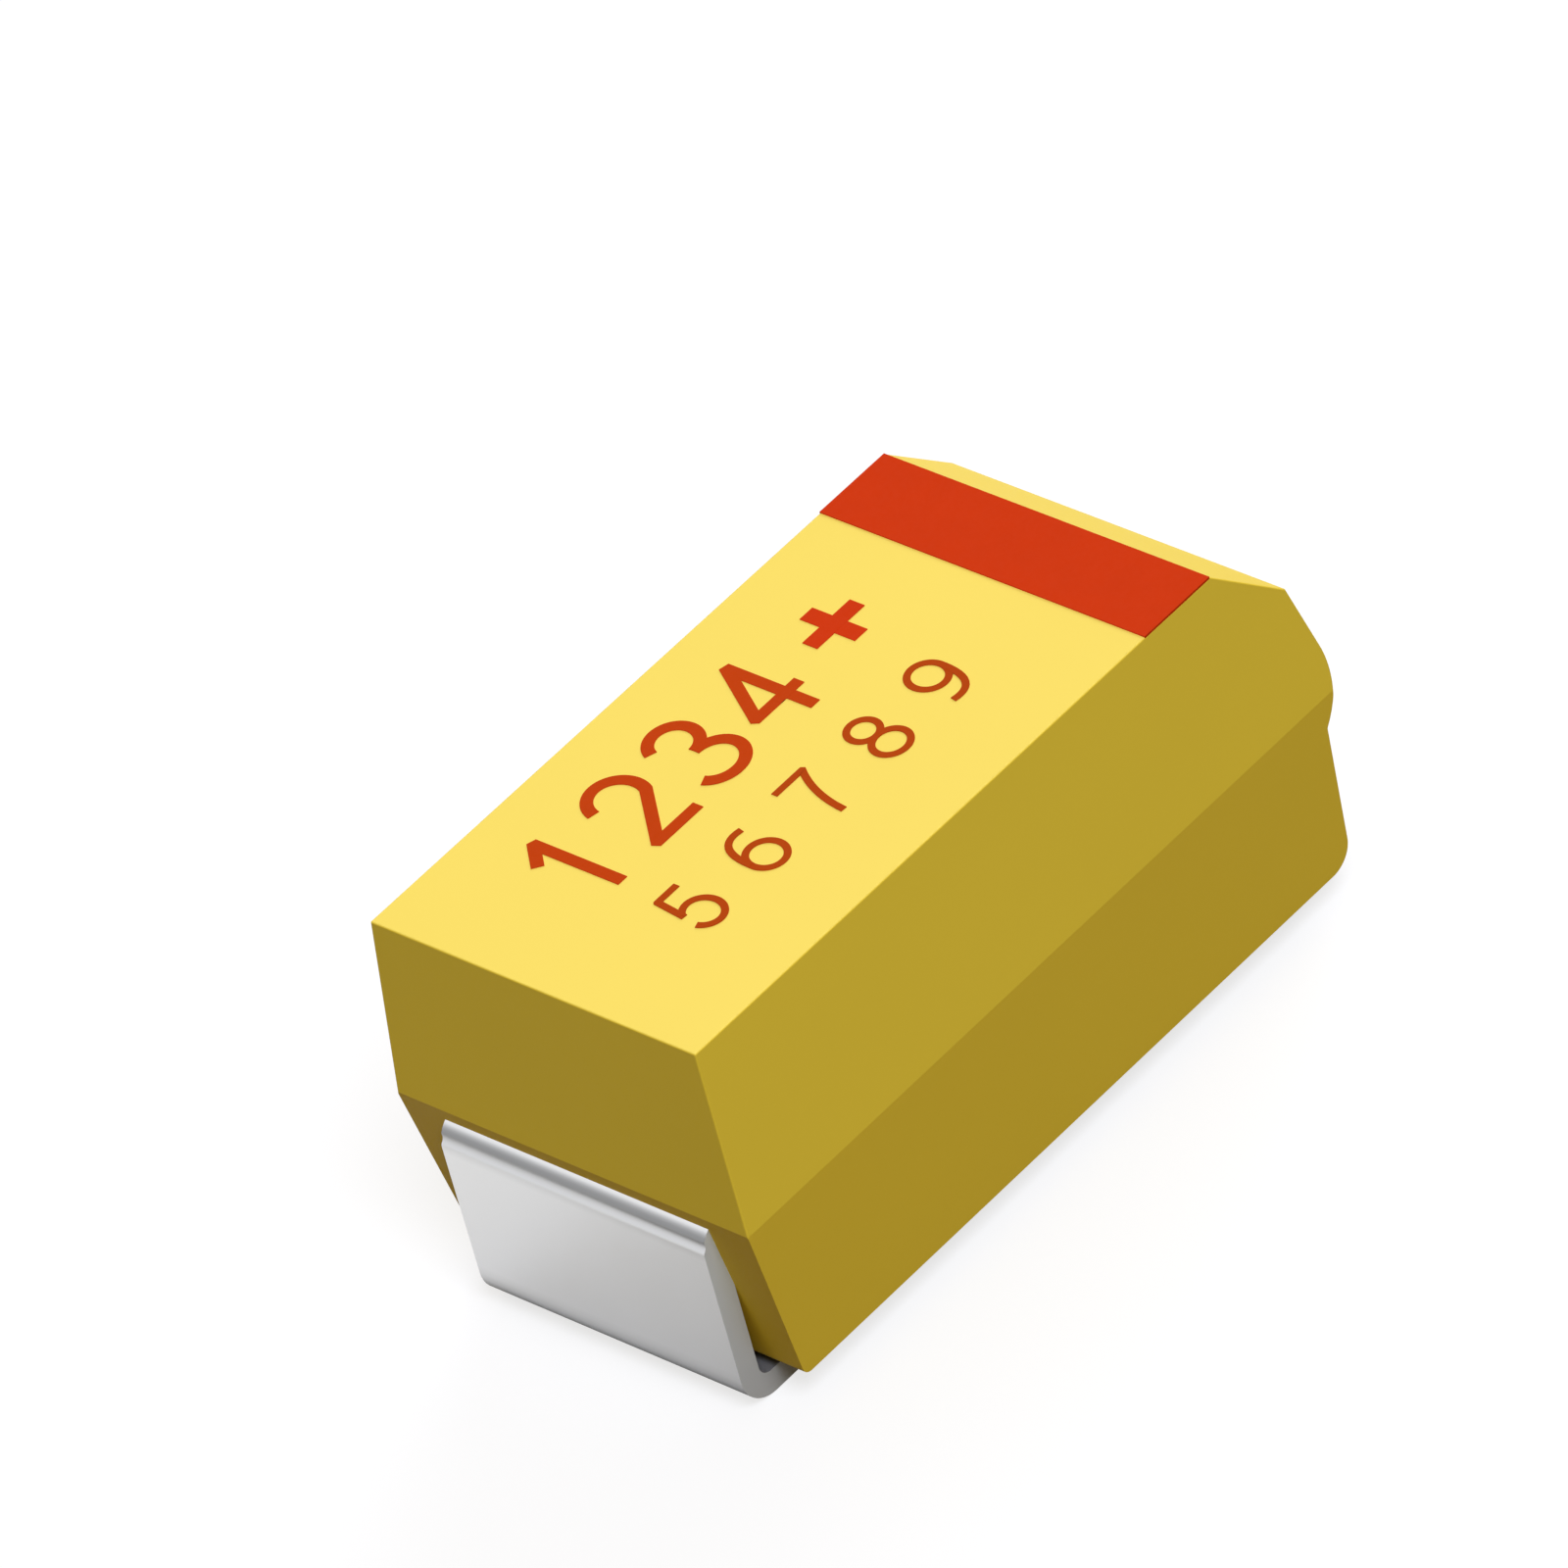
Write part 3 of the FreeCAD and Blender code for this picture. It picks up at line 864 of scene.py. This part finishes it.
def studio_world(values):
    """Even light, and plain white wherever the camera or a reflection sees past the floor."""
    world = bpy.data.worlds.new("studio_world")
    nodes = Nodes(world, "ShaderNodeOutputWorld")
    light = nodes.glow("ShaderNodeBackground", values.fill_color, values.ambient)
    white = nodes.glow("ShaderNodeBackground", WHITE, 1.0)
    seen = nodes.rays("Is Camera Ray", "Is Glossy Ray", "Is Transmission Ray")
    nodes.link(nodes.mix(seen, light, white), nodes.output.inputs["Surface"])
    bpy.context.scene.world = world


def picture_camera(values):
    """Camera that frames the part as the picture does."""
    level = math.cos(values.elevation)
    back = Vector((
        level * math.cos(values.azimuth), level * math.sin(values.azimuth),
        math.sin(values.elevation)))
    right = Vector((0.0, 0.0, 1.0)).cross(back).normalized()
    up = back.cross(right)
    turn = Matrix.Rotation(values.roll, 3, back)
    right, up = turn @ right, turn @ up
    data = bpy.data.cameras.new("picture_camera")
    data.type = "PERSP"
    data.sensor_width = SENSOR_WIDTH
    data.lens = values.pixels_per_mm * values.distance * SENSOR_WIDTH / PICTURE_SIDE
    data.clip_start, data.clip_end = [reach * MM for reach in CAMERA_REACH]
    camera = scene_object("picture_camera", data)
    aside = Vector(values.offset) * MM / values.pixels_per_mm
    middle = Vector(PART_MIDDLE) * MM
    place = middle + back * values.distance * MM - right * aside.x + up * aside.y
    axes = Matrix((right, up, back)).transposed().to_4x4()
    camera.matrix_world = Matrix.Translation(place) @ axes
    bpy.context.scene.camera = camera


class CAPACITOR_OT_stage(bpy.types.Operator):
    """Set the floor, the lamps and the camera"""

    bl_idname = "capacitor.stage"
    bl_label = "Studio"

    def execute(self, context):
        values = settings("stage")
        studio_floor(values)
        studio_world(values)
        lamp("key_lamp", values.key_direction, values.key_spread, values.key)
        lamp("back_lamp", values.back_direction, values.back_spread, values.back)
        picture_camera(values)
        context.scene.view_settings.view_transform = "Standard"
        return {"FINISHED"}


class CAPACITOR_PT_panel(bpy.types.Panel):
    """Capacitor tools in the sidebar"""

    bl_idname = "CAPACITOR_PT_panel"
    bl_label = "Tantalum chip capacitor"
    bl_space_type = "VIEW_3D"
    bl_region_type = "UI"
    bl_category = "Capacitor"

    def draw(self, context):
        for group in SETTINGS:
            box = self.layout.box()
            box.label(text=group.title())
            for key in SETTINGS[group].__annotations__:
                box.prop(settings(group), key)
        for operator in OPERATORS:
            self.layout.operator(operator.bl_idname)


SETTINGS = {
    "resin": ResinSettings,
    "strip": StripSettings,
    "marks": MarkSettings,
    "stage": StageSettings,
}
OPERATORS = (
    CAPACITOR_OT_case,
    CAPACITOR_OT_terminals,
    CAPACITOR_OT_element,
    CAPACITOR_OT_marks,
    CAPACITOR_OT_stage,
)


def register():
    for name, group in SETTINGS.items():
        bpy.utils.register_class(group)
        setattr(bpy.types.Scene, "capacitor_" + name, bpy.props.PointerProperty(type=group))
    for operator in OPERATORS:
        bpy.utils.register_class(operator)
    bpy.utils.register_class(CAPACITOR_PT_panel)


def unregister():
    bpy.utils.unregister_class(CAPACITOR_PT_panel)
    for operator in reversed(OPERATORS):
        bpy.utils.unregister_class(operator)
    for name, group in SETTINGS.items():
        delattr(bpy.types.Scene, "capacitor_" + name)
        bpy.utils.unregister_class(group)


def main():
    register()
    bpy.ops.capacitor.case()
    bpy.ops.capacitor.terminals()
    bpy.ops.capacitor.element()
    bpy.ops.capacitor.marks()
    bpy.ops.capacitor.stage()


if __name__ == "__main__":
    main()
